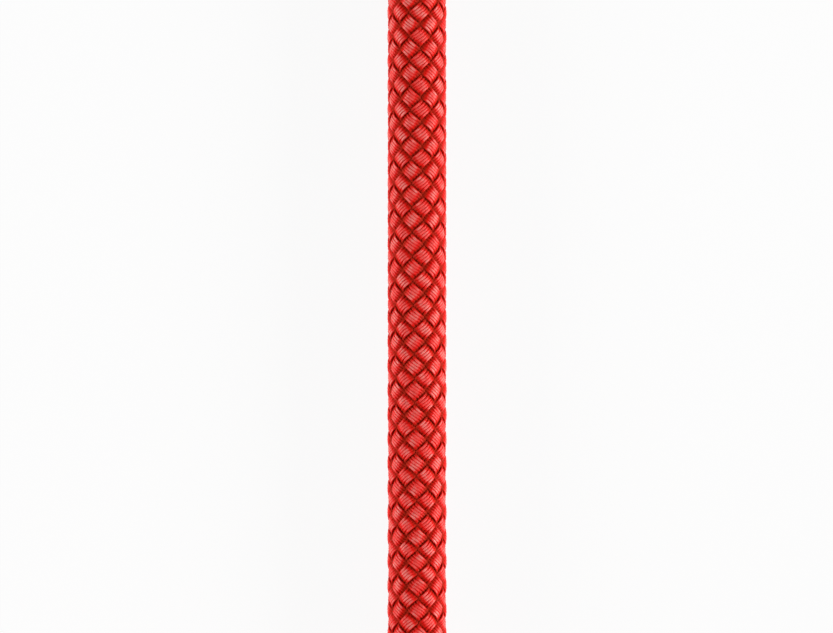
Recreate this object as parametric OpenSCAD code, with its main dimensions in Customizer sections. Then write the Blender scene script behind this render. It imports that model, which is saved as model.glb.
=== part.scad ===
// Dynamic climbing rope: a braided sheath over a core of twisted strands.
// One stretch lies straight along +Y with a hot-cut end. The rest of the
// rope is folded into a hank in line with it, held by a strap.
// Millimetres. +Z is up, the rope lies on the plane z = 0, and the origin is
// under the middle of the whole object.

/* [Rope] */
// Outside diameter of the rope
rope_d = 9.8; // [9:0.1:11]
// Thickness of the braided sheath
sheath_t = 1.05; // [0.9:0.05:1.2]
// Width of one sheath strand
strand_w = 2.3; // [2:0.05:2.4]
// Rope length from one strand crossing to the next
pick_l = 2; // [1.8:0.05:2.4]
// Strand crossings along the straight stretch
straight_picks = 90; // [80:1:110]
// Twist of the laid-out rope, in degrees per mm
rope_twist = 0.2; // [0:0.05:0.4]
// Clearance between two sheath strands where they cross
crossing_gap = 0.07; // [0.05:0.01:0.1]
// Clearance between neighbouring core strands
core_gap = 0.25; // [0.2:0.05:0.35]
// Width of the identification tape in the core
tape_w = 0.5; // [0.3:0.05:0.5]
// Thickness of the identification tape
tape_t = 0.12; // [0.08:0.02:0.2]

/* [Ends] */
// Length of the shrunk band at each end
band_l = 30; // [20:1:32]
// Thickness of the band
band_t = 0.3; // [0.2:0.05:0.5]
// Length of the fused tip
tip_l = 4; // [2:0.5:6]
// Chamfer round the tip's face
tip_chamfer = 1; // [0.5:0.25:1.5]

/* [Hank] */
// Radius of the rope's middle in the innermost fold
fold_r = 19.6; // [18.6:0.2:24]
// Length of a run between its two folds
run_l = 98.3; // [88:0.1:105]
// Turns that lie on top of each other
levels = 9; // [7:1:10]
// Clearance between neighbouring turns
turn_gap = 0.65; // [0.65:0.05:0.9]
// How far the strap draws each side in
waist_in = 3; // [1:0.5:4]
// Distance from the hank's near folds to the straight stretch
hank_gap = 3; // [2:0.5:10]
// Clearance round the plain core that the outer turns lie on
core_clear = 0.3; // [0.2:0.05:0.5]

/* [Strap] */
// Width of the strap
strap_w = 25; // [15:1:28]
// Thickness of the strap
strap_t = 1.5; // [1:0.1:2]
// Clearance between the strap and the rope
strap_clear = 0.1; // [0.1:0.05:0.4]
// Length of the strap's tail, which is stuck down on top
tail_l = 48; // [30:1:60]

/* [Hidden] */
WAYS = 8;          // sheath strands in each direction
INNER_CORE = 3;    // core strands round the tape
OUTER_CORE = 9;    // core strands round those
TUBE_SIDES = 6;
FOLD_STEPS = 8;    // rings in half a turn
RUN_STEPS = [0, 1 / 3, 1 / 2, 2 / 3];
BRAID_PHASE = -1.6; // where the first crossing lies round the rope, in degrees
Z_WAY = 1;          // strands that run like the middle stroke of a Z
S_WAY = -1;
RED = [0.84, 0.09, 0.08];
CORE_WHITE = [0.93, 0.92, 0.88];
TAPE_YELLOW = [0.9, 0.8, 0.2];
BAND_BLACK = [0.06, 0.06, 0.07];
STRAP_GREY = [0.16, 0.17, 0.18];

// The rope's section
rope_r = rope_d / 2;
core_r = rope_r - sheath_t;
strand_t = (sheath_t - crossing_gap) / 2;
strand_mid_r = rope_r - sheath_t / 2;
strand_wave = (strand_t + crossing_gap) / 2;
outer_step = 360 / OUTER_CORE;
core_strand_r = (core_r * sin(outer_step / 2) - core_gap / 2) / (1 + sin(outer_step / 2));
outer_core_r = core_r - core_strand_r;
tape_room = norm([tape_w, tape_t]) / 2 + 0.05;
inner_touch_r = (core_strand_r + 0.15) / sin(180 / INNER_CORE);
inner_core_r = max(inner_touch_r, core_strand_r + tape_room);
pick_turn = 180 / WAYS;

// The hank. Its middle lies a little off x = 0, because the band at the rope's
// end stands proud on one side.
axis_z = rope_r + band_t;
pitch = rope_d + turn_gap;
top_level = levels - 1;
lift = strap_t + strap_clear - band_t;
level_h = pitch + 2 * lift / top_level;
ring_r = [fold_r + 2 * pitch, fold_r + pitch, fold_r];
flat_r = rope_r * cos(180 / TUBE_SIDES);
straight_l = straight_picks * pick_l;
hank_l = run_l + 2 * (ring_r[0] + flat_r);
total_l = tip_l + straight_l + hank_gap + hank_l;
hank_x = (flat_r - rope_r - band_t) / 2;
rope_x = hank_x + ring_r[0];
sheath_top_y = total_l / 2 - tip_l;
joint_y = sheath_top_y - straight_l;
hank_y = hank_l / 2 - total_l / 2;
half_h = top_level * level_h / 2;
mid_z = axis_z + half_h;
waist_top_z = mid_z + half_h - lift;
end_b_x = hank_x + ring_r[2] - waist_in;
end_b_y = hank_y - run_l / 6 - 1 - band_l;

// The plain core inside the outer turns
core_out_r = ring_r[0] - (flat_r + core_clear) / cos(90 / FOLD_STEPS);
core_in_r = fold_r - rope_r;
core_top_z = waist_top_z - rope_r - band_t - core_clear;

// The strap
strap_in_x = ring_r[0] - waist_in + rope_r + strap_clear;
strap_top_z = waist_top_z + rope_r + strap_clear;
strap_corner_r = rope_r + strap_clear;

// ---- sheath strands -------------------------------------------------------

// A point of the straight stretch from its radius, its angle from the top of
// the rope and its distance below the sheath's upper end.
function rope_point(radius, angle, down) = [
    rope_x + radius * sin(angle),
    sheath_top_y - down,
    axis_z + radius * cos(angle)
];

// 1 where a strand of this way lies over the strand that it crosses, else -1.
function over(way, pick) = (pick % 2 == 0) == (way == Z_WAY) ? 1 : -1;

function strand_angle(way, index, pick) =
    BRAID_PHASE + 360 / WAYS * index + (rope_twist * pick_l - way * pick_turn) * pick;

// A strand's section at one crossing: outer edge, one side, inner edge, other
// side. At the two ends it lies square to the rope.
function strand_ring(way, index, pick) =
    let (angle = strand_angle(way, index, pick),
         radius = strand_mid_r + strand_wave * over(way, pick),
         arc = (rope_twist * pick_l - way * pick_turn) * PI / 180 * strand_mid_r,
         slant = atan2(arc, pick_l),
         square_end = pick == 0 || pick == straight_picks,
         along = square_end ? 0 : strand_w / 2 * sin(slant),
         across = square_end ? strand_w / 2 / cos(slant) : strand_w / 2 * cos(slant),
         side = across / radius * 180 / PI,
         down = pick * pick_l)
    [
        rope_point(radius + strand_t / 2, angle, down),
        rope_point(radius, angle + side, down - along),
        rope_point(radius - strand_t / 2, angle, down),
        rope_point(radius, angle - side, down + along)
    ];

// One solid through a list of rings of equally many points each. The diagonal
// of each face leans one way or, mirrored, the other.
module skin(rings, mirrored = false) {
    sides = len(rings[0]);
    last = len(rings) - 1;
    sheets = [for (k = [0:last - 1], i = [0:sides - 1])
        let (a = k * sides + i, b = k * sides + (i + 1) % sides)
        each mirrored
            ? [[a, b, a + sides], [b, b + sides, a + sides]]
            : [[a, b, b + sides], [a, b + sides, a + sides]]];
    caps = [for (i = [1:sides - 2]) each [
        [0, i + 1, i],
        [last * sides, last * sides + i, last * sides + i + 1]
    ]];
    polyhedron(points = [for (ring = rings) each ring], faces = concat(sheets, caps));
}

module sheath_strand(way, index) {
    color(RED)
    skin([for (pick = [0:straight_picks]) strand_ring(way, index, pick)], way == Z_WAY);
}

// ---- core -----------------------------------------------------------------

module along_rope(radius, angle) {
    translate(rope_point(radius, angle, straight_l))
    rotate([-90, 0, 0])
    children();
}

module core_strand(ring_radius, angle) {
    color(CORE_WHITE)
    along_rope(ring_radius, angle)
    cylinder(r = core_strand_r, h = straight_l, $fn = 24);
}

module identification_tape() {
    color(TAPE_YELLOW)
    along_rope(0, 0)
    translate([-tape_w / 2, -tape_t / 2, 0])
    cube([tape_w, tape_t, straight_l]);
}

// ---- hank -----------------------------------------------------------------

// How much of the waist's step is taken at a share t of a run.
function drawn_in(t) = min(1, 3 * t, 3 * (1 - t));

// The height of a level, with the levels pressed together at the waist.
function level_z(level, waist) =
    mid_z + (level - top_level / 2) * (level_h - waist * 2 * lift / top_level);

// Side 1 is the run under the straight stretch, walked towards -Y.
function run_point(side, radius, level, t) = [
    hank_x + side * (radius - waist_in * drawn_in(t)),
    hank_y + side * run_l * (1 / 2 - t),
    level_z(level, drawn_in(t))
];

function fold_point(side, from_r, to_r, level, angle) =
    let (middle = (from_r - to_r) / 2, radius = (from_r + to_r) / 2)
    [
        hank_x + side * (middle + radius * cos(angle)),
        hank_y - side * (run_l / 2 + radius * sin(angle)),
        level_z(level, 0)
    ];

// A run, which may climb a level, and the fold at its end.
function half_turn(side, from_r, to_r, from_level, to_level) = concat(
    [for (t = RUN_STEPS)
        run_point(side, from_r, from_level + (to_level - from_level) * t, t)],
    [for (i = [0:FOLD_STEPS - 1])
        fold_point(side, from_r, to_r, to_level, 180 * i / FOLD_STEPS)]
);

// The outer turns climb one level each. The top level winds inwards.
hank_path = concat(
    [[rope_x, joint_y, axis_z], [rope_x, joint_y - 2 * rope_d, axis_z]],
    [for (n = [0:top_level - 1]) each concat(
        half_turn(1, ring_r[0], ring_r[0], n, n),
        half_turn(-1, ring_r[0], ring_r[0], n, n + 1))],
    half_turn(1, ring_r[0], ring_r[1], top_level, top_level),
    half_turn(-1, ring_r[1], ring_r[1], top_level, top_level),
    half_turn(1, ring_r[1], ring_r[2], top_level, top_level),
    half_turn(-1, ring_r[2], ring_r[2], top_level, top_level),
    [for (t = RUN_STEPS) run_point(1, ring_r[2], top_level, t)],
    [[end_b_x, end_b_y, waist_top_z]]
);

function unit(v) = v / norm(v);

// The direction of a path at one of its points, between its two neighbours.
function heading(path, i) =
    let (last = len(path) - 1,
         back = i > 0 ? unit(path[i] - path[i - 1]) : [0, 0, 0],
         ahead = i < last ? unit(path[i + 1] - path[i]) : [0, 0, 0])
    unit(back + ahead);

function tube_ring(path, i, radius) =
    let (ahead = heading(path, i),
         side = unit(cross(ahead, [0, 0, 1])),
         up = cross(side, ahead))
    [for (k = [0:TUBE_SIDES - 1])
        let (a = 90 + 360 * k / TUBE_SIDES)
        path[i] + radius * (cos(a) * side + sin(a) * up)];

module tube(path, radius) {
    skin([for (i = [0:len(path) - 1]) tube_ring(path, i, radius)]);
}

module rope_hank() {
    color(RED)
    tube(hank_path, rope_r);
}

// The least distance between turns: over the path's points and the middles
// between them, leaving out what lies within half a turn along the rope.
function with_middles(path) = [for (i = [0:len(path) - 2]) each
    [path[i], (path[i] + path[i + 1]) / 2]];

function least_gap(points, apart) =
    min([for (i = [0:len(points) - 1 - apart], j = [i + apart:len(points) - 1])
        norm(points[i] - points[j])]) - rope_d;

// The outline of one turn, seen from above.
module turn_outline(radius) {
    turn = concat(half_turn(1, radius, radius, 0, 0), half_turn(-1, radius, radius, 0, 0));
    polygon([for (p = turn) [p.x, p.y]]);
}

module hank_core() {
    color(RED)
    difference() {
        linear_extrude(core_top_z)
        turn_outline(core_out_r);
        translate([0, 0, -1])
        linear_extrude(core_top_z + 2)
        turn_outline(core_in_r);
        translate([hank_x, hank_y, 0])
        cube([2 * core_out_r + 2, strap_w + 2, 2 * (strap_t + strap_clear)], center = true);
    }
}

// ---- ends -----------------------------------------------------------------

module end_band() {
    color(BAND_BLACK)
    rotate([-90, 0, 0])
    difference() {
        cylinder(r = rope_r + band_t, h = band_l, $fn = 64);
        translate([0, 0, -1])
        cylinder(r = rope_r, h = band_l + 2, $fn = 64);
    }
}

// A tip whose face looks along +Y.
module fused_tip() {
    color(RED)
    rotate([-90, 0, 0]) {
        cylinder(r = rope_r, h = tip_l - tip_chamfer, $fn = 64);
        translate([0, 0, tip_l - tip_chamfer])
        cylinder(r1 = rope_r, r2 = rope_r - tip_chamfer, h = tip_chamfer, $fn = 64);
    }
}

module end_band_a() {
    translate([rope_x, sheath_top_y - band_l, axis_z])
    end_band();
}

module end_band_b() {
    translate([end_b_x, end_b_y, waist_top_z])
    end_band();
}

module fused_tip_a() {
    translate([rope_x, sheath_top_y, axis_z])
    fused_tip();
}

module fused_tip_b() {
    translate([end_b_x, end_b_y, waist_top_z])
    rotate([0, 0, 180])
    fused_tip();
}

// ---- strap ----------------------------------------------------------------

// A rectangle with round corners, from x = -half_w to half_w.
module rounded(half_w, low, high, corner) {
    translate([-half_w, low + corner])
    square([2 * half_w, high - low - 2 * corner]);
    translate([-half_w + corner, low])
    square([2 * (half_w - corner), high - low]);
    for (x = [-1, 1], y = [low + corner, high - corner])
        translate([x * (half_w - corner), y])
        circle(r = corner, $fn = 48);
}

module tie_strap() {
    color(STRAP_GREY)
    translate([hank_x, hank_y, 0])
    rotate([90, 0, 0])
    linear_extrude(strap_w, center = true)
    difference() {
        rounded(strap_in_x + strap_t, 0, strap_top_z + strap_t, strap_corner_r + strap_t);
        rounded(strap_in_x, strap_t, strap_top_z, strap_corner_r);
    }
}

module tie_strap_tail() {
    color(STRAP_GREY)
    translate([hank_x, hank_y, strap_top_z + strap_t])
    linear_extrude(strap_t) {
        translate([-tail_l / 2, -strap_w / 2])
        square([tail_l - strap_w / 2, strap_w]);
        translate([tail_l / 2 - strap_w / 2, 0])
        circle(d = strap_w, $fn = 48);
    }
}

// ---- the object -----------------------------------------------------------

for (i = [1:WAYS]) {
    sheath_strand(Z_WAY, i);
    sheath_strand(S_WAY, i);
}
for (i = [1:INNER_CORE])
    core_strand(inner_core_r, 360 / INNER_CORE * i);
for (i = [1:OUTER_CORE])
    core_strand(outer_core_r, outer_step * (i - 1 / 2));
identification_tape();
rope_hank();
hank_core();
end_band_a();
end_band_b();
fused_tip_a();
fused_tip_b();
tie_strap();
tie_strap_tail();

echo("Least gap between the hank's turns, in mm", least_gap(with_middles(hank_path), 24));  // rope_hank
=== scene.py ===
"""Dynamic climbing rope: a braided sheath over a twisted core, folded into a strapped hank.

The laid-out stretch is built strand by strand and yarn by yarn. The put-away length is one
long braided tube on the route of the hank. Sizes are in metres, and +Z is up.
"""

import math
import random

import bmesh
import bpy
import numpy as np
from bpy.props import FloatProperty, FloatVectorProperty, IntProperty, PointerProperty
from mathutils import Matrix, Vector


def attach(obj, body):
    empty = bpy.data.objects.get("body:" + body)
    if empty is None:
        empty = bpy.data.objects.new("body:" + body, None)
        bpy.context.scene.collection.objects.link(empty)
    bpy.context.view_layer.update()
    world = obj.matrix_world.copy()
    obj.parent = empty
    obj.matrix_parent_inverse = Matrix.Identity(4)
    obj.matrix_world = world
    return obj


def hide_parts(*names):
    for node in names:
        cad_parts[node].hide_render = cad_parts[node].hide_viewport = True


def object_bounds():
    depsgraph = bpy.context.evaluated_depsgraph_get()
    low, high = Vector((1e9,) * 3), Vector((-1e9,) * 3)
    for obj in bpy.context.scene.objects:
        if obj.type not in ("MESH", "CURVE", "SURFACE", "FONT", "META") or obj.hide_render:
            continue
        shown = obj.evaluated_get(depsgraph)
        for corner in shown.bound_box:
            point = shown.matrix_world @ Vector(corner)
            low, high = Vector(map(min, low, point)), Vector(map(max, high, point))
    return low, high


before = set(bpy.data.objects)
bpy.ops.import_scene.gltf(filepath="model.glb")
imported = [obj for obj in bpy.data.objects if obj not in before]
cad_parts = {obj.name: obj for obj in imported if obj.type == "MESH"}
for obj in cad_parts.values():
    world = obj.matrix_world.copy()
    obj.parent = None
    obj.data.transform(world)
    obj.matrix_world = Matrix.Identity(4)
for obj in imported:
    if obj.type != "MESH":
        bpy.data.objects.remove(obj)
CAD_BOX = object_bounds()

bl_info = {
    "name": "Dynamic climbing rope",
    "version": (1, 0, 0),
    "blender": (4, 5, 0),
    "location": "3D View > Sidebar > Rope",
    "description": "Builds a kernmantle climbing rope with its hank, strap and cut ends",
    "category": "Add Mesh",
}

UP = np.array([0.0, 0.0, 1.0])
FULL_TURN = 2 * math.pi
WHITE = (1.0, 1.0, 1.0, 1.0)

# The braid: strands each way, its first crossing in degrees, and how its corners dip, in shape and in
# painted shade.
WAYS = 8
COLUMNS = 2 * WAYS
COLUMN_TURN = 180 / WAYS
Z_WAY = 1
S_WAY = -1
BRAID_PHASE = -1.6
DIP_Z = 0.9
DIP_S = 0.4
DIP_POWER = 1.5
DIP_DEPTH = 0.5

# The map for baking: long tubes are cut in strips, which lie in rows with gaps.
BAKE_MAP = "OFBake"
STRIP_GAP = 0.03
HANK_STRIP_RINGS = 62
HANK_STRIP_ROWS = 4
YARN_STRIPS = 5


# ---- sizes and colours ----


def number(name, description, default, **limits):
    """A plain number, or a size where the limits name a unit."""
    return FloatProperty(name=name, description=description, default=default, **limits)


def length(name, description, default):
    """A size that the sidebar shows in the scene's own unit of length."""
    return number(name, description, default, min=0.0, precision=5, unit="LENGTH")


def count(name, description, default, least):
    """A whole number of pieces or turns."""
    return IntProperty(name=name, description=description, default=default, min=least)


def colour(name, description, default):
    """A colour that the sidebar shows as a swatch."""
    return FloatVectorProperty(
        name=name, description=description, default=default, min=0.0, max=1.0, subtype="COLOR"
    )


class RopeSizes(bpy.types.PropertyGroup):
    """Sizes of the rope itself and of its two ends."""

    rope_d: length("Diameter", "Outside diameter of the rope", 0.0098)
    sheath_t: length("Sheath", "Thickness of the braided sheath", 0.00105)
    pick_l: length("Pick", "Rope length from one strand crossing to the next", 0.002)
    picks: count("Picks", "Strand crossings along the straight stretch", 90, 2)
    twist: number("Twist", "Twist of the laid-out rope, in degrees for each metre", 200.0)
    yarns: count("Yarns", "Yarns side by side in one strand", 5, 2)
    yarn_step: length("Yarn step", "Distance from one yarn to the next", 0.000515)
    yarn_w: length("Yarn width", "Width of one yarn", 0.0006)
    yarn_over_t: length("Yarn on top", "Thickness of a yarn where it lies on top", 0.00053)
    yarn_side_t: length("Yarn between", "Thickness of a yarn on its way down", 0.00034)
    yarn_under_t: length("Yarn below", "Thickness of a yarn where it passes below", 0.0004)
    crown: number("Crown", "How much thinner a strand's outer yarns are", 0.12, min=0.0, max=0.8)
    lean: length("Lean", "How far a yarn drifts sideways as it crosses over", 0.00018)
    band_l: length("Band", "Length of the shrunk band at each end", 0.030)
    band_t: length("Band wall", "Thickness of the shrunk band", 0.0003)
    tip_l: length("Tip", "Length of the fused tip", 0.004)
    tip_chamfer: length("Tip chamfer", "Chamfer round the tip's face", 0.001)


class HankSizes(bpy.types.PropertyGroup):
    """Sizes of the hank and of the strap that ties it."""

    fold_r: length("Fold", "Radius of the rope's middle in the innermost fold", 0.0196)
    run_l: length("Run", "Length of a run between its two folds", 0.0983)
    levels: count("Levels", "Turns that lie on top of each other", 9, 3)
    turn_gap: length("Turn gap", "Clearance between neighbouring turns", 0.00065)
    waist_in: length("Waist", "How far the strap draws each side in", 0.003)
    hank_gap: length("Hank gap", "From the hank's near folds to the straight stretch", 0.003)
    strap_w: length("Strap width", "Width of the strap", 0.025)
    strap_t: length("Strap", "Thickness of the strap", 0.0015)
    strap_clear: length("Strap gap", "Clearance between the strap and the rope", 0.0001)
    tail_l: length("Tail", "Length of the strap's tail", 0.048)


class RopeColours(bpy.types.PropertyGroup):
    """Colours of the rope, its ends and the strap."""

    sheath: colour("Sheath", "Red of the sheath's yarns", (0.91, 0.003, 0.002))
    # Painted shade: the sheath's red made darker deep between the strands, where shadow falls.
    crevice_shade: colour("Crevice", "Red deep between the strands", (0.42, 0.019, 0.007))
    # Painted highlight: the pale red along the top of each yarn stands for light glinting there.
    crest: colour("Crest", "Pale red along the top of each yarn", (0.92, 0.30, 0.26))
    core: colour("Core", "White of the core's yarns", (0.82, 0.80, 0.74))
    tape: colour("Tape", "Yellow of the identification tape", (0.78, 0.62, 0.06))
    band: colour("Band", "Black of the shrunk bands", (0.014, 0.014, 0.016))
    strap: colour("Strap", "Grey of the strap's webbing", (0.022, 0.024, 0.027))
    thread: colour("Thread", "Grey of the strap's sewing thread", (0.38, 0.39, 0.40))
    melted: colour("Melted core", "Core yarns after the hot cut", (0.52, 0.40, 0.24))
    scorched: colour("Scorched", "Burnt yarns round the melted core", (0.055, 0.012, 0.008))
    floor: colour("Floor", "Pale floor", (0.86, 0.86, 0.86))


class StageSizes(bpy.types.PropertyGroup):
    """Camera, floor and lamps."""

    picture_w: length("Picture width", "Width seen at the rope's middle", 0.1369)
    picture_x: length("Picture x", "Where the camera looks, across the rope", 0.03994)
    picture_y: length("Picture y", "Where the camera looks, along the rope", 0.09755)
    camera_far: length("Camera distance", "From the camera to the rope's middle", 1.2)
    floor_w: length("Floor", "Width of the floor", 2.6)


SETTINGS = (
    ("rope_sizes", RopeSizes),
    ("hank_sizes", HankSizes),
    ("rope_colours", RopeColours),
    ("rope_stage", StageSizes),
)


# ---- the rope's layout ----


def eased(share):
    """A smooth step from 0 to 1."""
    share = np.clip(share, 0.0, 1.0)
    return share * share * (3 - 2 * share)


def measured(points):
    """How far along a path each of its points lies."""
    steps = np.linalg.norm(np.diff(points, axis=0), axis=1)
    return np.concatenate([[0.0], np.cumsum(steps)])


def spaced(points, along, wanted):
    """The points of a path at the wanted places along it."""
    return np.column_stack([np.interp(wanted, along, values) for values in points.T])


class Layout:
    """Where everything lies, from the sizes that can be set."""

    WAIST_HOLD = 0.28
    RUN_POINTS = 60
    FOLD_POINTS = 60
    LEAD_POINTS = 30
    END_POINTS = 20
    END_RUN = 0.64
    END_LIFT = 0.0003
    END_PAST = 0.001

    def __init__(self, scene):
        self.colours = scene.rope_colours
        self.rope = rope = scene.rope_sizes
        self.hank = hank = scene.hank_sizes
        self.rope_r = rope.rope_d / 2
        self.core_r = self.rope_r - rope.sheath_t
        self.axis_z = self.rope_r + rope.band_t
        self.pitch = rope.rope_d + hank.turn_gap
        self.top = hank.levels - 1
        self.lift = hank.strap_t + hank.strap_clear - rope.band_t
        self.level_h = self.pitch + 2 * self.lift / self.top
        self.rings = [hank.fold_r + n * self.pitch for n in (2, 1, 0)]
        flat_r = self.rope_r * math.cos(math.pi / 6)
        self.straight_l = rope.picks * rope.pick_l
        hank_l = hank.run_l + 2 * (self.rings[0] + flat_r)
        total_l = rope.tip_l + self.straight_l + hank.hank_gap + hank_l
        self.hank_x = (flat_r - self.rope_r - rope.band_t) / 2
        self.rope_x = self.hank_x + self.rings[0]
        self.sheath_top_y = total_l / 2 - rope.tip_l
        self.joint_y = self.sheath_top_y - self.straight_l
        self.hank_y = hank_l / 2 - total_l / 2
        self.hank_middle = (self.hank_x, self.hank_y)
        half_h = self.top * self.level_h / 2
        self.mid_z = self.axis_z + half_h
        self.waist_top_z = self.mid_z + half_h - self.lift
        self.end_b_x = self.hank_x + self.rings[2] - hank.waist_in
        self.end_b_y = self.hank_y - hank.run_l / 6 - self.END_PAST - rope.band_l
        self.strap_in_x = self.rings[0] - hank.waist_in + self.rope_r + hank.strap_clear
        self.strap_top_z = self.waist_top_z + self.rope_r + hank.strap_clear
        self.strap_corner_r = self.rope_r + hank.strap_clear

    def drawn_in(self, share):
        """How much of the waist's step is taken at a share of a run."""
        edge = (1 - self.WAIST_HOLD) / 2
        return eased(share / edge) * eased((1 - share) / edge)

    def level_z(self, level, waist):
        """The height of a level, with the levels pressed together at the waist."""
        step = self.level_h - waist * 2 * self.lift / self.top
        return self.mid_z + (level - self.top / 2) * step

    def run(self, side, radius, from_level, to_level, stop=1.0):
        """A run of the hank, up to a share of its length."""
        share = np.linspace(0.0, stop, self.RUN_POINTS, endpoint=False)
        waist = self.drawn_in(share)
        level = from_level + (to_level - from_level) * eased(share)
        return np.column_stack([
            self.hank_x + side * (radius - self.hank.waist_in * waist),
            self.hank_y + side * self.hank.run_l * (0.5 - share),
            self.level_z(level, waist),
        ])

    def fold(self, side, from_r, to_r, level):
        """Half a turn round one end of the hank."""
        angle = np.linspace(0.0, math.pi, self.FOLD_POINTS, endpoint=False)
        middle, radius = (from_r - to_r) / 2, (from_r + to_r) / 2
        return np.column_stack([
            self.hank_x + side * (middle + radius * np.cos(angle)),
            self.hank_y - side * (self.hank.run_l / 2 + radius * np.sin(angle)),
            np.full(self.FOLD_POINTS, self.level_z(level, 0.0)),
        ])

    def half_turn(self, side, from_r, to_r, from_level, to_level):
        """A run and the fold at its end."""
        return [
            self.run(side, from_r, from_level, to_level),
            self.fold(side, from_r, to_r, to_level),
        ]

    def climb(self, radius):
        """Turns that climb from the lowest level to the top one."""
        parts = []
        for level in range(self.top):
            parts += self.half_turn(1, radius, radius, level, level)
            parts += self.half_turn(-1, radius, radius, level, level + 1)
        return parts

    def hank_route(self):
        """The whole put-away length: up outside, down in the middle, up inside."""
        outer, middle, inner = self.rings
        top = self.top
        run_y = self.hank_y + self.hank.run_l / 2
        lead_in = np.column_stack([
            np.full(self.LEAD_POINTS, self.rope_x),
            np.linspace(self.joint_y, run_y, self.LEAD_POINTS, endpoint=False),
            np.full(self.LEAD_POINTS, self.axis_z),
        ])
        parts = [lead_in] + self.climb(outer)
        parts += self.half_turn(1, outer, middle, top, top)
        parts += self.half_turn(-1, middle, middle, top, top)
        for level in range(top, 0, -1):
            parts += self.half_turn(1, middle, middle, level, level - 1)
            last = inner if level == 1 else middle
            parts += self.half_turn(-1, middle, last, level - 1, level - 1)
        parts += self.climb(inner)
        last_run = self.run(1, inner, top, top, self.END_RUN)
        straight = np.linspace(0.0, 1.0, self.END_POINTS)[1:, None]
        end = np.array([self.end_b_x, self.end_b_y, self.waist_top_z + self.END_LIFT])
        parts += [last_run, last_run[-1] + (end - last_run[-1]) * straight]
        return np.vstack(parts)

    def tidy_route(self):
        """The hank's route with its points one pick apart, and its length."""
        route = self.hank_route()
        along = measured(route)
        rings = round(along[-1] / self.rope.pick_l)
        return spaced(route, along, np.linspace(0.0, along[-1], rings + 1)), along[-1]

    def on_rope(self, radius, degrees, down):
        """Points of the straight stretch, with the angle from the top of the rope."""
        angle = np.radians(degrees)
        return np.column_stack([
            self.rope_x + radius * np.sin(angle),
            self.sheath_top_y - down,
            self.axis_z + radius * np.cos(angle),
        ])


# ---- meshes ----


def unit(vectors):
    """Vectors scaled to length 1."""
    return vectors / np.linalg.norm(vectors, axis=1)[:, None]


def heading(points):
    """The direction of a path at each of its points."""
    return unit(np.gradient(points, axis=0))


SEAM_REACH = 1e-5
WELD_REACH = 1e-6
EDGE_SOFTNESS = 0.35


def finished_mesh(bm, name):
    """Turns a bmesh into a mesh and lets go of it."""
    mesh = bpy.data.meshes.new(name)
    bm.to_mesh(mesh)
    bm.free()
    return mesh


def tube_mesh(name, rings, sides, capped=True):
    """A tube along x from 0 to 1 with radius 1, with u along it and v round it."""
    bm = bmesh.new()
    bm.loops.layers.uv.new("UVMap")
    bmesh.ops.create_grid(bm, x_segments=rings, y_segments=sides, size=0.5, calc_uvs=True)
    for vert in bm.verts:
        along, turn = vert.co.x + 0.5, FULL_TURN * (vert.co.y + 0.5)
        vert.co = (along, math.cos(turn), math.sin(turn))
    bmesh.ops.remove_doubles(bm, verts=bm.verts, dist=SEAM_REACH)
    if capped:
        rims = [edge for edge in bm.edges if edge.is_boundary]
        bmesh.ops.holes_fill(bm, edges=rims, sides=0)
    bmesh.ops.recalc_face_normals(bm, faces=bm.faces)
    return finished_mesh(bm, name)


def places(mesh):
    """The places of a mesh's points as an array."""
    flat = np.empty(3 * len(mesh.vertices))
    mesh.vertices.foreach_get("co", flat)
    return flat.reshape(-1, 3)


def turns(template):
    """How far round its tube each point lies, in radians."""
    return np.arctan2(template[:, 2], template[:, 1])


def set_places(mesh, points):
    """Moves a mesh's points."""
    mesh.vertices.foreach_set("co", np.ascontiguousarray(points, dtype=np.float64).ravel())
    mesh.update()


def set_shape(mesh, points, welded=0.0, bridged=False, triangles=False):
    """Moves a mesh's points, closes it and turns its faces outwards."""
    set_places(mesh, points)
    bm = bmesh.new()
    bm.from_mesh(mesh)
    if welded:
        bmesh.ops.remove_doubles(bm, verts=bm.verts, dist=welded)
    if bridged:
        rims = [edge for edge in bm.edges if edge.is_boundary]
        bmesh.ops.bridge_loops(bm, edges=rims)
    bmesh.ops.recalc_face_normals(bm, faces=bm.faces)
    if triangles:
        bmesh.ops.triangulate(bm, faces=bm.faces, quad_method="SHORT_EDGE")
    bm.to_mesh(mesh)
    bm.free()


def joined(name, meshes):
    """One mesh that holds several, in their order."""
    bm = bmesh.new()
    for mesh in meshes:
        bm.from_mesh(mesh)
    return finished_mesh(bm, name)


def add_attribute(mesh, name, values):
    """Stores one number for each point of a mesh, for its material to read."""
    layer = mesh.attributes.new(name, "FLOAT", "POINT")
    layer.data.foreach_set("value", np.ascontiguousarray(values, dtype=np.float32))


def add_strip_map(mesh, tubes, strips, rows):
    """A second map, with each tube cut into equal strips that lie in rows, or share them."""
    corners = np.empty(2 * len(mesh.loops), dtype=np.float32)
    mesh.uv_layers["UVMap"].uv.foreach_get("vector", corners)
    along, around = corners.reshape(-1, 2).T
    counts = np.empty(len(mesh.polygons), dtype=np.int32)
    mesh.polygons.foreach_get("loop_total", counts)
    face = np.repeat(np.arange(len(counts)), counts)
    strip = np.floor(np.bincount(face, along * strips) / counts)
    tube = np.arange(len(counts)) * tubes // len(counts)
    row = (tube * (rows // tubes) + strip) % rows
    placed = np.column_stack([
        along * strips - strip[face],
        (row[face] + STRIP_GAP + (1 - 2 * STRIP_GAP) * around) / rows,
    ])
    layer = mesh.uv_layers.new(name=BAKE_MAP, do_init=False)
    layer.uv.foreach_set("vector", placed.astype(np.float32).ravel())


def put(name, data, place=(0.0, 0.0, 0.0)):
    """Puts a mesh, lamp or camera into the scene."""
    thing = bpy.data.objects.new(name, data)
    thing.location = place
    bpy.context.scene.collection.objects.link(thing)
    return thing


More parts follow.
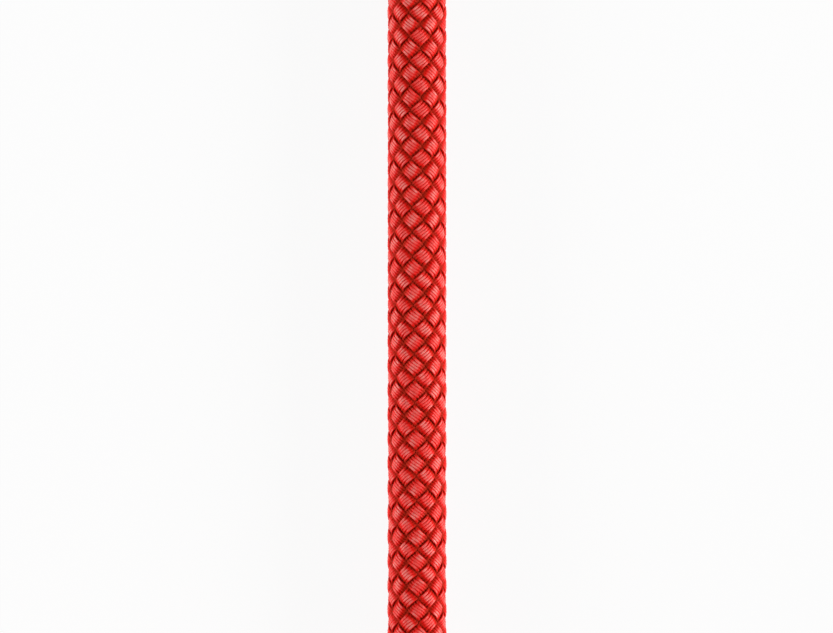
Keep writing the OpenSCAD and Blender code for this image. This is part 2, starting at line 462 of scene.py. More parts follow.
def add_piece(name, mesh, material, replaced=()):
    """Puts a mesh into the scene as a piece of the rope."""
    mesh.shade_smooth()
    mesh.materials.clear()
    mesh.materials.append(material)
    piece = put(name, mesh)
    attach(piece, "root")
    if replaced:
        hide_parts(*replaced)
    return piece


def swept(template, centres, across, above, half_w, half_t):
    """Places of a tube's points along a path, for widths and heights at each ring."""
    ring = np.rint(template[:, 0] * (len(centres) - 1)).astype(int)
    return (
        centres[ring]
        + above[ring] * (half_t[ring] * template[:, 1])[:, None]
        + across[ring] * (half_w[ring] * template[:, 2])[:, None]
    )


# ---- materials ----


def overload(operation):
    """An operator that adds a Math node, and its reflected form."""
    return (
        lambda self, other: self.math(operation, self, other),
        lambda self, other: self.math(operation, other, self),
    )


class Wire:
    """A value that varies over a surface, so that shader maths reads as Python."""

    __add__, __radd__ = overload("ADD")
    __sub__, __rsub__ = overload("SUBTRACT")
    __mul__, __rmul__ = overload("MULTIPLY")
    __pow__, __rpow__ = overload("POWER")
    __mod__, __rmod__ = overload("FLOORED_MODULO")

    def __init__(self, finish, socket):
        self.finish = finish
        self.socket = socket

    def math(self, operation, *values):
        """A Math node on these values."""
        return self.finish.node("ShaderNodeMath", values, operation=operation)

    def __abs__(self):
        return self.math("ABSOLUTE", self)

    def rounded(self):
        """The nearest whole number."""
        return self.math("ROUND", self)

    def cosine(self):
        """The cosine of this angle in radians."""
        return self.math("COSINE", self)

    def turned(self):
        """A wave from -1 to 1 with a crest at each whole number."""
        return (self * FULL_TURN).cosine()

    def clipped(self):
        """Held between 0 and 1."""
        return self.math("MINIMUM", self.math("MAXIMUM", self, 0.0), 1.0)

    def between(self, low, high):
        """A smooth step from 0 at low to 1 at high."""
        inputs = (self, low, high, 0.0, 1.0)
        return self.finish.node("ShaderNodeMapRange", inputs, interpolation_type="SMOOTHSTEP")


class Finish:
    """The nodes of a material or a world, and the one method that adds them."""

    def __init__(self, name, kind="materials"):
        self.block = getattr(bpy.data, kind).new(name)
        self.block.use_nodes = True
        self.tree = self.block.node_tree
        self.tree.nodes.clear()

    def node(self, kind, inputs=(), output=0, **settings):
        """Adds a node, sets it up, fills its inputs and returns one output."""
        node = self.tree.nodes.new(kind)
        for key, value in settings.items():
            if key == "stops":
                set_stops(node.color_ramp.elements, value)
            else:
                setattr(node, key, value)
        pairs = inputs.items() if isinstance(inputs, dict) else enumerate(inputs)
        for key, value in pairs:
            if isinstance(value, Wire):
                self.tree.links.new(value.socket, node.inputs[key])
            else:
                node.inputs[key].default_value = value
        return Wire(self, node.outputs[output]) if node.outputs else None

    def blend(self, factor, first, second):
        """A mix of two colours."""
        inputs = {0: factor, 6: opaque(first), 7: opaque(second)}
        return self.node("ShaderNodeMix", inputs, output=2, data_type="RGBA")

    def attribute(self, name):
        """The number that the piece stores at each point."""
        return self.node("ShaderNodeAttribute", output="Fac", attribute_name=name)

    def split(self, vector):
        """The three parts of a vector."""
        first = self.node("ShaderNodeSeparateXYZ", (vector,))
        return [Wire(self, socket) for socket in first.socket.node.outputs]

    def surface_place(self):
        """The piece's own u and v."""
        return self.split(self.node("ShaderNodeUVMap", uv_map="UVMap"))[:2]

    def object_place(self):
        """The place on the piece, in metres."""
        return self.node("ShaderNodeTexCoord", output="Object")

    def from_middle(self, place, middle):
        """How far a place lies along x and along y from a middle, in metres."""
        x, y, _ = self.split(place)
        return x - middle[0], y - middle[1]

    def noise(self, vector, scale, detail=2.0, roughness=0.5):
        """Even noise about 0.5."""
        inputs = {"Vector": vector, "Scale": scale, "Detail": detail, "Roughness": roughness}
        return self.node("ShaderNodeTexNoise", inputs)

    def bump(self, height, depth):
        """A normal from a height of 0 to 1."""
        inputs = {"Strength": 1.0, "Distance": depth, "Height": height}
        return self.node("ShaderNodeBump", inputs)

    def shade(self, **inputs):
        """The surface shader, with its sockets named with underscores."""
        named = {key.replace("_", " "): value for key, value in inputs.items()}
        return self.finished(self.node("ShaderNodeBsdfPrincipled", named))

    def finished(self, shader, output="ShaderNodeOutputMaterial"):
        """Wires a shader to the output and returns the material or world."""
        self.node(output, (shader,))
        return self.block


def set_stops(elements, stops):
    """Gives a colour ramp its stops of place and colour."""
    while len(elements) < len(stops):
        elements.new(0.5)
    for element, (place, shade) in zip(elements, stops):
        element.position = place
        element.color = (*shade, 1.0)


def opaque(shade):
    """A colour with its alpha, or a wire as it is."""
    return shade if isinstance(shade, Wire) else (*shade, 1.0)


def scaled(shade, factor):
    """A colour made darker or lighter."""
    return tuple(min(1.0, factor * part) for part in shade)


# Steps of patterns in metres, or in turns round a yarn.
WARP_STEP = 0.0011
WEFT_STEP = 0.0014
CORE_PLY = 0.0022
TAPE_PLY = 0.0008
PLY_LEAN = 0.8
FILAMENTS = 14.0
FILAMENT_LEAN = 0.9
THREAD_TWIST = 3.0

# Between which heights on a yarn's crest or in the braid each part of the sheath sets in: the painted
# shade in its grooves and deep down, the painted highlight on top, and the coat.
IN_BRAID = (0.0, 0.75)
ON_YARN = (0.05, 1.0)
GROOVE_SHADE_FADES = (0.35, 1.0)
HIGHLIGHT_ON_YARN = (0.64, 1.0)
HIGHLIGHT_IN_BRAID = (0.5, 0.95)
HIGHLIGHT_PATCHES = (0.44, 0.62)
COAT_ON_YARN = (0.6, 1.0)

# How strong those parts are.
GROOVE_SHADE_FADE = 0.35
HIGHLIGHT_LEAST = 0.26
HIGHLIGHT_MORE = 0.45
HIGHLIGHT_TONE = 0.1
COAT = 0.3

# The same braid drawn on one tube: its painted shade darker and its painted grooves wider, in place
# of the shadows that real yarns would cast.
TUBE_SHADE = 0.75
TUBE_LIFT = 1.2
TUBE_YARN = 0.25
TUBE_GROOVE = 0.2
CORNER_EDGE = 0.1

# The melted tip's colours from its middle to its rim, and how ragged their borders are.
MELTED_STOPS = (0.0, 0.5, 0.66, 0.86)
RAGGED = 0.35

# The strap's firm edge, as a share of its half width.
FIRM_EDGE = (0.86, 0.90)

# The floor near the hank: where its painted shade ends, in metres, and how white it is there; within
# it the floor's real shadow shows too.
SHADE_ENDS = (-0.004, 0.008)
SHADE_LEAST = 0.07
SHADE_MORE = 0.85


def yarn_material(colours, sizes, strand_l):
    """Nylon yarn: a painted highlight along its crest, and painted shade in its grooves and deep in
    the braid.
    """
    finish = Finish("sheath_yarn_nylon")
    along, around = finish.surface_place()
    picks = along * (strand_l / sizes.pick_l)
    filaments = (around * FILAMENTS + picks * FILAMENT_LEAN).turned() * 0.5 + 0.5
    relief = {"height": filaments, "depth": 0.00003}
    lift, tone = finish.attribute("lift"), finish.attribute("tone")
    return sheath_finish(finish, colours, colours.crevice_shade, around.turned(), lift, relief, tone)


def braid_material(colours, sizes, rings):
    """The braid of the put-away length: crowned strands with their yarns, from u and v, drawn in
    bump, painted shade and painted highlight.
    """
    finish = Finish("sheath_braid_nylon")
    along, around = finish.surface_place()
    row = along * float(rings) + float(sizes.picks)
    column = around * float(COLUMNS)
    first = (column + row) * 0.5
    second = (column - row) * 0.5
    first_off = first - first.rounded()
    second_off = second - second.rounded()
    s_way = (first.rounded() + second.rounded()) % 2.0
    across = first_off * (1.0 - s_way) + second_off * s_way
    lengthways = second_off * (1.0 - s_way) + first_off * s_way
    corner = first_off * second_off * (s_way * 8.0 - 4.0)
    dip = corner.between(-CORNER_EDGE, CORNER_EDGE) * (DIP_Z - DIP_S) + DIP_S
    dip = abs(corner) ** DIP_POWER * dip
    lift = (lengthways * math.pi).cosine() * (1.0 - dip) * TUBE_LIFT
    rounded_off = 1.0 - (abs(across) * 2.0) ** 6.0 * 0.5
    crest = abs((across * (math.pi * sizes.yarns)).cosine())
    crest = crest * (1.0 + TUBE_GROOVE) - TUBE_GROOVE
    height = lift.between(0.0, TUBE_LIFT) * rounded_off
    height = height * (crest * TUBE_YARN + (1.0 - TUBE_YARN))
    relief = {"height": height, "depth": 0.0011}
    # Painted shade: the crevice red made darker still on this tube, which has no yarns to cast
    # shadows.
    hollow_shade = scaled(colours.crevice_shade, TUBE_SHADE)
    return sheath_finish(finish, colours, hollow_shade, crest, lift, relief)


def sheath_finish(finish, colours, hollow_shade, crest, lift, relief, tone=None):
    """The sheath's colours, from how high a point lies on its yarn and in the braid: painted shade
    where it lies low, a painted highlight where it lies high.
    """
    patches = finish.noise(finish.object_place(), scale=520.0)
    grain = finish.noise(finish.object_place(), scale=2600.0)
    high = lift.between(*IN_BRAID)
    groove_shade = 1.0 - crest.between(*ON_YARN)
    groove_shade = groove_shade * (1.0 - lift.between(*GROOVE_SHADE_FADES) * GROOVE_SHADE_FADE)
    # Painted shade: the red turns towards the crevice red in the grooves between yarns and deep in
    # the braid, less so on the tops of floats.
    red = finish.blend(high * (1.0 - groove_shade), hollow_shade, colours.sheath)
    tone = patches if tone is None else tone
    # Painted highlight: pale red laid along the crest of each yarn high in the braid, in random
    # patches and tones.
    pale = patches.between(*HIGHLIGHT_PATCHES) * HIGHLIGHT_MORE + HIGHLIGHT_LEAST + tone * HIGHLIGHT_TONE
    pale = crest.between(*HIGHLIGHT_ON_YARN) * lift.between(*HIGHLIGHT_IN_BRAID) * pale
    return finish.shade(
        Base_Color=finish.blend(pale, red, colours.crest),
        Roughness=0.42 + grain * 0.16,
        Normal=finish.bump(relief["height"] * 0.6 + grain * 0.4, relief["depth"]),
        Specular_IOR_Level=0.06,
        Specular_Tint=(1.0, 0.5, 0.45, 1.0),
        Coat_Weight=high * crest.between(*COAT_ON_YARN) * COAT,
        Coat_Roughness=0.24,
    )


def core_material(name, shade, ply):
    """Twisted core yarn: plies that wind round the strand, with a fine grain."""
    finish = Finish(name)
    place = finish.object_place()
    x, y, z = finish.split(place)
    plies = (y * (1 / ply) + (x + z) * (PLY_LEAN / ply)).turned()
    grain = finish.noise(place, scale=2500.0, detail=3.0)
    height = plies * 0.35 + 0.5 + grain * 0.15
    # The colour darkens into the grooves between the plies as painted shade; the grain adds random
    # tone.
    return finish.shade(
        Base_Color=finish.blend(height.clipped(), scaled(shade, 0.62), shade),
        Roughness=0.5 + grain * 0.2,
        Normal=finish.bump(height, depth=0.00008),
    )


def band_material(colours):
    """Shrunk tube: satin black with faint lengthwise drawing marks."""
    finish = Finish("end_band_shrunk")
    place = finish.object_place()
    drawn = {"Vector": place, "Scale": (1.0, 0.08, 1.0)}
    drawn = finish.node("ShaderNodeMapping", drawn)
    streaks = finish.noise(drawn, scale=1600.0, detail=3.0)
    mottle = finish.noise(place, scale=260.0, detail=3.0)
    marks = (streaks * 0.6 + mottle * 0.4).clipped()
    return finish.shade(
        Base_Color=finish.blend(marks, colours.band, scaled(colours.band, 2.4)),
        Roughness=0.30 + streaks * 0.14 + mottle * 0.1,
        Normal=finish.bump(streaks * 0.5 + mottle * 0.5, depth=0.00002),
    )


def melted_material(colours):
    """Hot-cut nylon: red at the rim, a pale amber core in the middle, scorched between."""
    finish = Finish("fused_nylon")
    place = finish.object_place()
    blotch = finish.noise(place, scale=700.0, detail=4.0, roughness=0.6)
    fine = finish.noise(place, scale=2600.0)
    edge = finish.attribute("rim") + (blotch - 0.5) * RAGGED
    shades = (colours.melted, colours.melted, colours.scorched, scaled(colours.sheath, 0.55))
    stops = tuple(zip(MELTED_STOPS, shades))
    return finish.shade(
        Base_Color=finish.node("ShaderNodeValToRGB", (edge.clipped(),), stops=stops),
        Roughness=0.22 + fine * 0.22,
        Normal=finish.bump(blotch * 0.7 + fine * 0.3, depth=0.00015),
        Coat_Roughness=0.1,
    )


def webbing_material(layout, name, pile, loop_l=None):
    """Woven webbing with a firm edge, and a soft pile on the loop side."""
    finish = Finish(name)
    strap = layout.colours.strap
    place = finish.object_place()
    along, across = finish.from_middle(place, layout.hank_middle)
    if loop_l is not None:
        along = finish.surface_place()[0] * loop_l
    warp = (across * (math.pi / WARP_STEP)).cosine()
    weft = (along * (math.pi / WEFT_STEP)).cosine()
    edge = (abs(across) * (2 / layout.hank.strap_w)).between(*FIRM_EDGE)
    fuzz = finish.noise(place, scale=1700.0, detail=4.0, roughness=0.7)
    cord = (along * (1 / WEFT_STEP)).turned() * 0.2 + 0.7
    height = (warp * weft * 0.5 + 0.5) * (1 - pile) + fuzz * pile
    height = height * (1.0 - edge) + cord * edge
    # The colour follows the weave's height: darker in its hollows as painted shade, with random tone
    # from the pile.
    return finish.shade(
        Base_Color=finish.blend(height.clipped(), strap, scaled(strap, 3.2)),
        Roughness=0.72 + fuzz * 0.2,
        Normal=finish.bump(height, depth=0.0003),
        Sheen_Weight=0.3,
        Sheen_Roughness=0.5,
    )


def thread_material(colours):
    """Sewing thread: a pale grey twist."""
    finish = Finish("strap_thread_twisted")
    along, around = finish.surface_place()
    twist = (along * THREAD_TWIST + around).turned() * 0.5 + 0.5
    grain = finish.noise(finish.object_place(), scale=3000.0)
    # The colour darkens into the twist's grooves as painted shade, with random tone from the grain.
    dark = scaled(colours.thread, 0.45)
    return finish.shade(
        Base_Color=finish.blend(twist * 0.7 + grain * 0.3, dark, colours.thread),
        Roughness=0.5 + grain * 0.2,
        Normal=finish.bump(twist, depth=0.00006),
    )


def floor_material(layout):
    """A pale floor that the camera sees near white, but for a ring of painted shade under and round
    the hank, where the floor's real shadow shows as well.
    """
    finish = Finish("floor_pale")
    colours = layout.colours
    place = finish.object_place()
    grain = finish.noise(place, scale=3.0)
    pale = finish.blend(grain, scaled(colours.floor, 0.985), colours.floor)
    matt = finish.node("ShaderNodeBsdfDiffuse", {"Color": pale})
    bright = finish.node("ShaderNodeEmission", {"Color": WHITE, "Strength": 1.0})
    rays = finish.node("ShaderNodeLightPath")
    sockets = rays.socket.node.outputs
    for kind in ("Is Glossy Ray", "Is Transmission Ray"):
        rays = rays + Wire(finish, sockets[kind])
    across, along = finish.from_middle(place, layout.hank_middle)
    past = (abs(along) - layout.hank.run_l / 2).clipped()
    beside = (across ** 2.0 + past ** 2.0) ** 0.5 - (layout.rings[0] + layout.rope_r)
    # Near the hank the camera's white is turned down: painted shade in a ring, and the floor's real
    # shadow where it falls.
    lifted = rays.clipped() * (beside.between(*SHADE_ENDS) * SHADE_MORE + SHADE_LEAST)
    return finish.finished(finish.node("ShaderNodeMixShader", (lifted, matt, bright)))


# ---- the operators ----


class ROPE_OT_stage(bpy.types.Operator):
    """Sets up the camera, the floor, the lamps and the plain surroundings"""

    bl_idname = "rope.stage"
    bl_label = "Stage"

    # The sensor in millimetres and how far the camera sees, then each lamp's place and watts.
    SENSOR = 36.0
    SEES_TO = 20.0
    LAMP_SIZE = (2.8, 0.4)
    LAMPS = (
        ("lamp_right", (1.32, 0.0, 0.46), 35.0),
        ("lamp_left", (-1.31, 0.0, 0.49), 27.0),
    )
    EVEN_LIGHT = 0.16

    def execute(self, context):
        scene = context.scene
        stage = scene.rope_stage
        layout = Layout(scene)
        camera = bpy.data.cameras.new("camera")
        camera.sensor_width = self.SENSOR
        camera.lens = camera.sensor_width * stage.camera_far / stage.picture_w
        camera.clip_end = self.SEES_TO
        high = layout.axis_z + stage.camera_far
        scene.camera = put("camera", camera, (stage.picture_x, stage.picture_y, high))
        self.add_floor(scene, layout)
        for lamp in self.LAMPS:
            self.add_lamp(*lamp)
        self.set_world(scene)
        scene.view_settings.view_transform = "Standard"
        return {"FINISHED"}

    def add_floor(self, scene, layout):
        """A large plane at the height that everything lies on."""
        bm = bmesh.new()
        half_w = scene.rope_stage.floor_w / 2
        bmesh.ops.create_grid(bm, x_segments=1, y_segments=1, size=half_w)
        mesh = finished_mesh(bm, "floor")
        mesh.materials.append(floor_material(layout))
        put("floor", mesh, (0.0, 0.0, CAD_BOX[0][2]))

    def add_lamp(self, name, place, power):
        """A soft lamp that faces the middle of the rope."""
        lamp = bpy.data.lights.new(name, "AREA")
        lamp.shape = "RECTANGLE"
        lamp.size, lamp.size_y = self.LAMP_SIZE
        lamp.energy = power
        holder = put(name, lamp, place)
        holder.rotation_euler = (-holder.location).to_track_quat("-Z", "Y").to_euler()

    def set_world(self, scene):
        """Even light from all round, near white behind the floor."""
        finish = Finish("surroundings", "worlds")
        light = {"Color": WHITE, "Strength": self.EVEN_LIGHT}
        even = finish.node("ShaderNodeBackground", light)
        white = finish.node("ShaderNodeBackground", {"Color": WHITE, "Strength": 1.0})
        seen = finish.node("ShaderNodeLightPath", output="Is Camera Ray")
        mixed = finish.node("ShaderNodeMixShader", (seen, even, white))
        scene.world = finish.finished(mixed, "ShaderNodeOutputWorld")


class ROPE_OT_hank(bpy.types.Operator):
    """Lays the put-away length of rope into its hank, with the strap and the far end"""

    bl_idname = "rope.hank"
    bl_label = "Hank and strap"

    # Where the tube's strands dip, then the strap: its mesh, and how much pile its cloth has.
    LOW_R = 0.00464
    STRAP_SIDES = 12
    STRAP_POINTS = 200
    CORNER_STEPS = 12
    STRAP_PILE = 0.45
    TAIL_PILE = 0.2

    # The seam and one stitch of it, in metres or in shares of the stitch and its thread.
    SEAM_IN = 0.003
    SEAM_L = 0.012
    STITCH_STEP = 0.0026
    STITCH_GAP = 0.1
    STITCH_RISE = 0.9
    STITCH_SINK = 0.5
    STITCH_END = 0.35
    STITCH_SIDES = 6
    THREAD_R = 0.00028

    def execute(self, context):
        layout = Layout(context.scene)
        route, route_l = layout.tidy_route()
        hank = self.add_rope(layout, route)
        ends = add_end(layout, "b", route[-1], route[-2] - route[-1])
        strap = self.add_strap(layout)
        tail = self.add_tail(layout)
        seam = self.add_stitches(layout)
        return {"FINISHED"}

    def add_rope(self, layout, route):
        """One braided tube along the whole route."""
        rings = len(route) - 1
        mesh = tube_mesh("rope_in_hank", rings, COLUMNS)
        template = places(mesh)
        ring = np.rint(template[:, 0] * rings).astype(int)
        column = np.rint(turns(template) / FULL_TURN * COLUMNS)
        down = layout.straight_l + ring * layout.rope.pick_l
        angle = np.radians(BRAID_PHASE + layout.rope.twist * down + COLUMN_TURN * column)
        ahead = heading(route)
        side = unit(np.cross(UP, ahead))
        above = np.cross(ahead, side)
        on_top = (column + ring) % 2 == 0
        radius = np.where(on_top, layout.rope_r, self.LOW_R)
        outwards = above[ring] * np.cos(angle)[:, None] + side[ring] * np.sin(angle)[:, None]
        set_shape(mesh, route[ring] + outwards * radius[:, None], triangles=True)
        add_strip_map(mesh, 1, rings / HANK_STRIP_RINGS, HANK_STRIP_ROWS)
        material = braid_material(layout.colours, layout.rope, rings)
        solids = ("rope_hank", "hank_core")
        return add_piece("rope_in_hank", mesh, material, solids)

    def add_strap(self, layout):
        """The strap, pulled tight round the hank's waist, with softly rounded edges."""
        hank = layout.hank
        outline = self.strap_outline(layout)
        loop_l = float(measured(np.vstack([outline, outline[:1]]))[-1])
        mesh = tube_mesh("tie_strap_webbing", len(outline), self.STRAP_SIDES, capped=False)
        template = places(mesh)
        ring = np.rint(template[:, 0] * len(outline)).astype(int) % len(outline)
        ahead = unit(np.roll(outline, -1, axis=0) - np.roll(outline, 1, axis=0))
        out = softened(np.cos(turns(template))) * hank.strap_t / 2
        points = np.column_stack([
            layout.hank_x + outline[ring, 0] + ahead[ring, 1] * out,
            layout.hank_y + softened(np.sin(turns(template))) * hank.strap_w / 2,
            outline[ring, 1] - ahead[ring, 0] * out,
        ])
        set_shape(mesh, points, welded=WELD_REACH)
        material = webbing_material(layout, "strap_webbing_woven", self.STRAP_PILE, loop_l)
        return add_piece(mesh.name, mesh, material, ("tie_strap",))

    def strap_outline(self, layout):
        """The strap's middle line round the waist, in x and z, at even steps."""
        half_t = layout.hank.strap_t / 2
        corner = layout.strap_corner_r + half_t
        right = layout.strap_in_x + half_t - corner
        low = half_t + corner
        high = layout.strap_top_z + half_t - corner
        quarter = np.linspace(0.0, math.pi / 2, self.CORNER_STEPS + 1)
        arcs = []
        for number, (x, z) in enumerate(((right, low), (right, high), (-right, high), (-right, low))):
            angle = (number - 1) * math.pi / 2 + quarter
            arcs.append(np.column_stack([x + corner * np.cos(angle), z + corner * np.sin(angle)]))
        closed = np.vstack([*arcs, arcs[0][:1]])
        along = measured(closed)
        wanted = np.linspace(0.0, along[-1], self.STRAP_POINTS, endpoint=False)
        return spaced(closed, along, wanted)

    def add_tail(self, layout):
        """The strap's tail, stuck down on top, with a rounded end."""
        mesh = tail_mesh(layout.hank)
        low = layout.strap_top_z + layout.hank.strap_t
        set_places(mesh, places(mesh) + (*layout.hank_middle, low))
        material = webbing_material(layout, "strap_tail_woven", self.TAIL_PILE)
        return add_piece(mesh.name, mesh, material, ("tie_strap_tail",))

    def add_stitches(self, layout):
        """A box of stitches that sews the tail's square end to the strap."""
        hank = layout.hank
        top = layout.strap_top_z + 2 * hank.strap_t
        left = layout.hank_x - hank.tail_l / 2 + self.SEAM_IN
        right = left + self.SEAM_L
        low = layout.hank_y - hank.strap_w / 2 + self.SEAM_IN
        high = layout.hank_y + hank.strap_w / 2 - self.SEAM_IN
        corners = ((left, low), (right, low), (right, high), (left, high), (left, low))
        stitch = tube_mesh("stitch", self.STITCH_SIDES, self.STITCH_SIDES)
        share, above, across = places(stitch).T
        arch = np.sin(math.pi * share)
        fade = np.sqrt(arch.clip(0.0, 1.0))
        thick = self.THREAD_R * (self.STITCH_END + (1 - self.STITCH_END) * fade)
        lift = self.THREAD_R * (arch * self.STITCH_RISE - self.STITCH_SINK)
        height = top + lift + thick * above
        stretch = self.STITCH_GAP + (1 - 2 * self.STITCH_GAP) * share
        points = []
        for start, end in zip(corners, corners[1:]):
            side = np.subtract(end, start)
            side_l = float(np.linalg.norm(side))
            ahead = side / side_l
            beside = np.array([-ahead[1], ahead[0]]) * (thick * across)[:, None]
            stitches = round(side_l / self.STITCH_STEP)
            for done in range(stitches):
                along = (done + stretch) * side_l / stitches
                points.append(np.column_stack([start + ahead * along[:, None] + beside, height]))
        seam = joined("strap_stitches", [stitch] * len(points))
        set_places(seam, np.vstack(points))
        bpy.data.meshes.remove(stitch)
        return add_piece(seam.name, seam, thread_material(layout.colours))


def softened(value):
    """Draws a round section out towards a rectangle with soft corners."""
    return np.sign(value) * np.abs(value) ** EDGE_SOFTNESS


# The round end of the strap's tail, and its soft edge as a share of its thickness.
TAIL_ARC = 16
TAIL_BEVEL = 0.35


def tail_mesh(hank):
    """A flat tongue with a round end, its edges softened."""
    bm = bmesh.new()
    uv = bm.loops.layers.uv.new("UVMap")
    half_w = hank.strap_w / 2
    corners = [(-hank.tail_l / 2, -half_w)]
    for step in range(TAIL_ARC + 1):
        angle = math.pi * (step / TAIL_ARC - 0.5)
        x = hank.tail_l / 2 - half_w + half_w * math.cos(angle)
        corners.append((x, half_w * math.sin(angle)))
    corners.append((-hank.tail_l / 2, half_w))
    face = bm.faces.new([bm.verts.new((x, y, 0.0)) for x, y in corners])
    raised = bmesh.ops.extrude_face_region(bm, geom=[face])
    top = [part for part in raised["geom"] if isinstance(part, bmesh.types.BMVert)]
    bmesh.ops.translate(bm, verts=top, vec=(0.0, 0.0, hank.strap_t))
    bmesh.ops.recalc_face_normals(bm, faces=bm.faces)
    rims = [edge for edge in bm.edges if edge.verts[0].co.z == edge.verts[1].co.z]
    bmesh.ops.bevel(
        bm,
        geom=rims,
        offset=hank.strap_t * TAIL_BEVEL,
        segments=3,
        profile=0.5,
        affect="EDGES",
        material=-1,
    )
    for loop in (loop for one in bm.faces for loop in one.loops):
        x, y, _ = loop.vert.co
        loop[uv].uv = (x / hank.tail_l + 0.5, y / hank.strap_w + 0.5)
    return finished_mesh(bm, "tie_strap_tail_webbing")


# The shrunk band's mesh, how close it hugs the rope and how much of the braid it shows.
BAND_RINGS = 60
BAND_LIPS = 4
BAND_CLEAR = 0.00002
BAND_RELIEF = 0.00008

# The fused tip: its wall is a share of its mesh. Each lump has waves, rings, phase and size.
TIP_RINGS = 26
TIP_WALL = 0.4
TIP_IN = 0.0001
TIP_FLARE = 0.00011
TIP_DISH = 0.0004
TIP_NARROWS = 0.012
LUMP_H = 0.00009
LUMP_TOP = 2.5
LUMPS = ((3, 0, 1.1, 0.5), (7, 12, 0.0, 1.0), (5, -9, 2.0, 1.0))
END_SIDES = 64


def add_end(layout, letter, end, inwards):
    """The shrunk band and the fused tip at one end of the rope."""
    return [add(layout, letter, end, inwards) for add in (add_band, add_tip)]


def round_end(end, inwards, along, radius, turn):
    """Points round the rope's end, from how far along it they lie and the angle."""
    ahead = np.array(inwards) / np.linalg.norm(inwards)
    side = np.cross(UP, ahead)
    side /= np.linalg.norm(side)
    above = np.cross(ahead, side)
    return (
        np.array(end)
        + ahead * along[:, None]
        + side * (radius * np.sin(turn))[:, None]
        + above * (radius * np.cos(turn))[:, None]
    )


def add_band(layout, letter, end, inwards):
    """A shrunk band, which shows the braid under it."""
    rope = layout.rope
    rings = BAND_RINGS + 2 * BAND_LIPS
    mesh = tube_mesh(f"shrunk_band_{letter}", rings, END_SIDES, capped=False)
    template = places(mesh)
    turn = turns(template)
    step = np.rint(template[:, 0] * rings) - BAND_LIPS
    down = np.clip(step / BAND_RINGS, 0.0, 1.0) * rope.band_l
    column = np.degrees(turn) / COLUMN_TURN
    row = down / rope.pick_l
    relief = np.cos(math.pi * (column + row) / 2) * np.cos(math.pi * (column - row) / 2)
    lip = np.clip(np.maximum(-step, step - BAND_RINGS), 0, BAND_LIPS) / BAND_LIPS
    outer = layout.rope_r + rope.band_t - BAND_RELIEF * (1 - relief)
    inner = layout.rope_r + BAND_CLEAR
    radius = np.where(lip > 0, inner + (outer - inner) * np.cos(lip * math.pi / 2), outer)
    set_shape(mesh, round_end(end, inwards, down, radius, turn), bridged=True)
    material = band_material(layout.colours)
    return add_piece(mesh.name, mesh, material, (f"end_band_{letter}",))


def add_tip(layout, letter, end, inwards):
    """The hot-cut tip: melted flat, with a lumpy face and a soft rim."""
    rope = layout.rope
    mesh = tube_mesh(f"melted_tip_{letter}", TIP_RINGS, END_SIDES)
    template = places(mesh)
    share = template[:, 0]
    turn = turns(template)
    on_wall = share < TIP_WALL
    face = np.clip((share - TIP_WALL) / (1 - TIP_WALL), 0.0, 1.0)
    rim = np.where(on_wall, 1.0, 1.0 - face)
    lumps = sum(
        size * np.sin(waves * turn + rings * rim + phase)
        for waves, rings, phase, size in LUMPS
    )
    wall_l = rope.tip_l - rope.tip_chamfer
    rounded = rope.tip_chamfer * np.clip(1 - face * 3.2, 0, 1) ** 2
    dished = TIP_DISH * eased((face - 0.3) * 1.5)
    out = np.where(on_wall, share / TIP_WALL * wall_l, rope.tip_l - rounded - dished)
    faded = eased((share - 0.08) / 0.3)
    out -= LUMP_H * (lumps * np.sqrt(rim) + LUMP_TOP) * faded
    shrunk = layout.rope_r - TIP_IN
    radius = np.where(
        on_wall,
        shrunk + TIP_FLARE * (1 - eased(share / TIP_WALL * 2)),
        shrunk * np.sqrt(np.clip(1 - face * 0.999, 0, 1)),
    )
    radius *= 1 - TIP_NARROWS * (lumps + LUMP_TOP) / LUMP_TOP * faded
    set_shape(mesh, round_end(end, inwards, -out, radius, turn))
    add_attribute(mesh, "rim", np.sqrt(np.clip(rim, 0, 1)))
    material = melted_material(layout.colours)
    return add_piece(mesh.name, mesh, material, (f"fused_tip_{letter}",))


